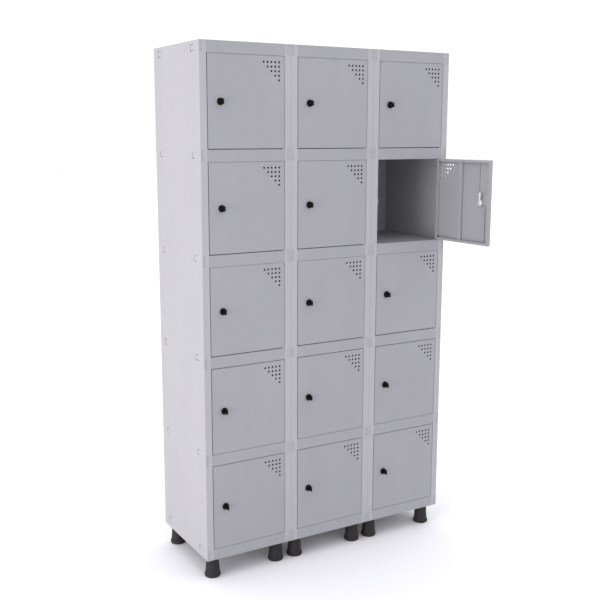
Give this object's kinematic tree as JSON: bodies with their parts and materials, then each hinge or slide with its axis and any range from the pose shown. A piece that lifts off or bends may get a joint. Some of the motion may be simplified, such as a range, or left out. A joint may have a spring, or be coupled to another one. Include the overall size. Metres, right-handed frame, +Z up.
{
  "type": "padlock-latch compartment locker",
  "caption": "Free-standing sheet-steel locker in joined modules: right-hinged compartment doors with vent holes and turning padlock latches, on conical plastic feet.",
  "frame": {"origin": "centre of the steel body's footprint, on the floor under the feet", "axes": "+Z up, the doors face -Y, +X to the right of someone facing the doors"},
  "size_m": [1.0639, 0.6952, 1.933],
  "materials": {
    "body_paint": "satin powder coat, light grey",
    "door_paint": "satin powder coat, slightly darker grey",
    "black_plastic": "moulded, matt",
    "zinc": "zinc plated"
  },
  "bodies": {
    "root": {"module_1_sides": "body_paint", "module_1_back": "body_paint", "module_1_shelves": "door_paint", "module_2_sides": "body_paint", "module_2_back": "body_paint", "module_2_shelves": "door_paint", "module_3_sides": "body_paint", "module_3_back": "body_paint", "module_3_shelves": "door_paint", "top_panels": "door_paint", "base_panels": "body_paint", "clips_and_keepers": "door_paint", "hinge_pins": "zinc", "feet": "black_plastic", "frame_bolts": "zinc"},
    "door_1_1": {"door_1_1": "door_paint", "latch_body_1_1": "black_plastic"},
    "latch_1_1": {"latch_rotor_1_1": "black_plastic"},
    "door_1_2": {"door_1_2": "door_paint", "latch_body_1_2": "black_plastic"},
    "latch_1_2": {"latch_rotor_1_2": "black_plastic"},
    "door_1_3": {"door_1_3": "door_paint", "latch_body_1_3": "black_plastic"},
    "latch_1_3": {"latch_rotor_1_3": "black_plastic"},
    "door_1_4": {"door_1_4": "door_paint", "latch_body_1_4": "black_plastic"},
    "latch_1_4": {"latch_rotor_1_4": "black_plastic"},
    "door_1_5": {"door_1_5": "door_paint", "latch_body_1_5": "black_plastic"},
    "latch_1_5": {"latch_rotor_1_5": "black_plastic"},
    "door_2_1": {"door_2_1": "door_paint", "latch_body_2_1": "black_plastic"},
    "latch_2_1": {"latch_rotor_2_1": "black_plastic"},
    "door_2_2": {"door_2_2": "door_paint", "latch_body_2_2": "black_plastic"},
    "latch_2_2": {"latch_rotor_2_2": "black_plastic"},
    "door_2_3": {"door_2_3": "door_paint", "latch_body_2_3": "black_plastic"},
    "latch_2_3": {"latch_rotor_2_3": "black_plastic"},
    "door_2_4": {"door_2_4": "door_paint", "latch_body_2_4": "black_plastic"},
    "latch_2_4": {"latch_rotor_2_4": "black_plastic"},
    "door_2_5": {"door_2_5": "door_paint", "latch_body_2_5": "black_plastic"},
    "latch_2_5": {"latch_rotor_2_5": "black_plastic"},
    "door_3_1": {"door_3_1": "door_paint", "latch_body_3_1": "black_plastic"},
    "latch_3_1": {"latch_rotor_3_1": "black_plastic"},
    "door_3_2": {"door_3_2": "door_paint", "latch_body_3_2": "black_plastic"},
    "latch_3_2": {"latch_rotor_3_2": "black_plastic"},
    "door_3_3": {"door_3_3": "door_paint", "latch_body_3_3": "black_plastic"},
    "latch_3_3": {"latch_rotor_3_3": "black_plastic"},
    "door_3_4": {"door_3_4": "door_paint", "latch_body_3_4": "black_plastic"},
    "latch_3_4": {"latch_rotor_3_4": "black_plastic"},
    "door_3_5": {"door_3_5": "door_paint", "latch_body_3_5": "black_plastic"},
    "latch_3_5": {"latch_rotor_3_5": "black_plastic"}
  },
  "joints": [
    {"name": "door_1_1_hinge", "type": "hinge", "parent": "root", "child": "door_1_1", "pos_m": [-0.2064, -0.1963, 1.733], "axis": [0, 0, 1], "range_deg": [0, 95]},
    {"name": "latch_1_1_turn", "type": "hinge", "parent": "door_1_1", "child": "latch_1_1", "pos_m": [-0.4537, -0.2, 1.733], "axis": [0, 1, 0], "range_deg": [-90, 0]},
    {"name": "door_1_2_hinge", "type": "hinge", "parent": "root", "child": "door_1_2", "pos_m": [-0.2064, -0.1963, 1.371], "axis": [0, 0, 1], "range_deg": [0, 95]},
    {"name": "latch_1_2_turn", "type": "hinge", "parent": "door_1_2", "child": "latch_1_2", "pos_m": [-0.4537, -0.2, 1.371], "axis": [0, 1, 0], "range_deg": [-90, 0]},
    {"name": "door_1_3_hinge", "type": "hinge", "parent": "root", "child": "door_1_3", "pos_m": [-0.2064, -0.1963, 1.009], "axis": [0, 0, 1], "range_deg": [0, 95]},
    {"name": "latch_1_3_turn", "type": "hinge", "parent": "door_1_3", "child": "latch_1_3", "pos_m": [-0.4537, -0.2, 1.009], "axis": [0, 1, 0], "range_deg": [-90, 0]},
    {"name": "door_1_4_hinge", "type": "hinge", "parent": "root", "child": "door_1_4", "pos_m": [-0.2064, -0.1963, 0.645], "axis": [0, 0, 1], "range_deg": [0, 95]},
    {"name": "latch_1_4_turn", "type": "hinge", "parent": "door_1_4", "child": "latch_1_4", "pos_m": [-0.4537, -0.2, 0.645], "axis": [0, 1, 0], "range_deg": [-90, 0]},
    {"name": "door_1_5_hinge", "type": "hinge", "parent": "root", "child": "door_1_5", "pos_m": [-0.2064, -0.1963, 0.283], "axis": [0, 0, 1], "range_deg": [0, 95]},
    {"name": "latch_1_5_turn", "type": "hinge", "parent": "door_1_5", "child": "latch_1_5", "pos_m": [-0.4537, -0.2, 0.283], "axis": [0, 1, 0], "range_deg": [-90, 0]},
    {"name": "door_2_1_hinge", "type": "hinge", "parent": "root", "child": "door_2_1", "pos_m": [0.1471, -0.1963, 1.733], "axis": [0, 0, 1], "range_deg": [0, 95]},
    {"name": "latch_2_1_turn", "type": "hinge", "parent": "door_2_1", "child": "latch_2_1", "pos_m": [-0.1002, -0.2, 1.733], "axis": [0, 1, 0], "range_deg": [-90, 0]},
    {"name": "door_2_2_hinge", "type": "hinge", "parent": "root", "child": "door_2_2", "pos_m": [0.1471, -0.1963, 1.371], "axis": [0, 0, 1], "range_deg": [0, 95]},
    {"name": "latch_2_2_turn", "type": "hinge", "parent": "door_2_2", "child": "latch_2_2", "pos_m": [-0.1002, -0.2, 1.371], "axis": [0, 1, 0], "range_deg": [-90, 0]},
    {"name": "door_2_3_hinge", "type": "hinge", "parent": "root", "child": "door_2_3", "pos_m": [0.1471, -0.1963, 1.009], "axis": [0, 0, 1], "range_deg": [0, 95]},
    {"name": "latch_2_3_turn", "type": "hinge", "parent": "door_2_3", "child": "latch_2_3", "pos_m": [-0.1002, -0.2, 1.009], "axis": [0, 1, 0], "range_deg": [-90, 0]},
    {"name": "door_2_4_hinge", "type": "hinge", "parent": "root", "child": "door_2_4", "pos_m": [0.1471, -0.1963, 0.645], "axis": [0, 0, 1], "range_deg": [0, 95]},
    {"name": "latch_2_4_turn", "type": "hinge", "parent": "door_2_4", "child": "latch_2_4", "pos_m": [-0.1002, -0.2, 0.645], "axis": [0, 1, 0], "range_deg": [-90, 0]},
    {"name": "door_2_5_hinge", "type": "hinge", "parent": "root", "child": "door_2_5", "pos_m": [0.1471, -0.1963, 0.283], "axis": [0, 0, 1], "range_deg": [0, 95]},
    {"name": "latch_2_5_turn", "type": "hinge", "parent": "door_2_5", "child": "latch_2_5", "pos_m": [-0.1002, -0.2, 0.283], "axis": [0, 1, 0], "range_deg": [-90, 0]},
    {"name": "door_3_1_hinge", "type": "hinge", "parent": "root", "child": "door_3_1", "pos_m": [0.5006, -0.1963, 1.733], "axis": [0, 0, 1], "range_deg": [0, 95]},
    {"name": "latch_3_1_turn", "type": "hinge", "parent": "door_3_1", "child": "latch_3_1", "pos_m": [0.2533, -0.2, 1.733], "axis": [0, 1, 0], "range_deg": [-90, 0]},
    {"name": "door_3_2_hinge", "type": "hinge", "parent": "root", "child": "door_3_2", "pos_m": [0.5006, -0.1963, 1.371], "axis": [0, 0, 1], "range_deg": [-91.5, 3.5]},
    {"name": "latch_3_2_turn", "type": "hinge", "parent": "door_3_2", "child": "latch_3_2", "pos_m": [0.51077, -0.44342, 1.371], "axis": [-0.9997, -0.0262, 0], "range_deg": [-90, 0]},
    {"name": "door_3_3_hinge", "type": "hinge", "parent": "root", "child": "door_3_3", "pos_m": [0.5006, -0.1963, 1.009], "axis": [0, 0, 1], "range_deg": [0, 95]},
    {"name": "latch_3_3_turn", "type": "hinge", "parent": "door_3_3", "child": "latch_3_3", "pos_m": [0.2533, -0.2, 1.009], "axis": [0, 1, 0], "range_deg": [-90, 0]},
    {"name": "door_3_4_hinge", "type": "hinge", "parent": "root", "child": "door_3_4", "pos_m": [0.5006, -0.1963, 0.645], "axis": [0, 0, 1], "range_deg": [0, 95]},
    {"name": "latch_3_4_turn", "type": "hinge", "parent": "door_3_4", "child": "latch_3_4", "pos_m": [0.2533, -0.2, 0.645], "axis": [0, 1, 0], "range_deg": [-90, 0]},
    {"name": "door_3_5_hinge", "type": "hinge", "parent": "root", "child": "door_3_5", "pos_m": [0.5006, -0.1963, 0.283], "axis": [0, 0, 1], "range_deg": [0, 95]},
    {"name": "latch_3_5_turn", "type": "hinge", "parent": "door_3_5", "child": "latch_3_5", "pos_m": [0.2533, -0.2, 0.283], "axis": [0, 1, 0], "range_deg": [-90, 0]}
  ]
}
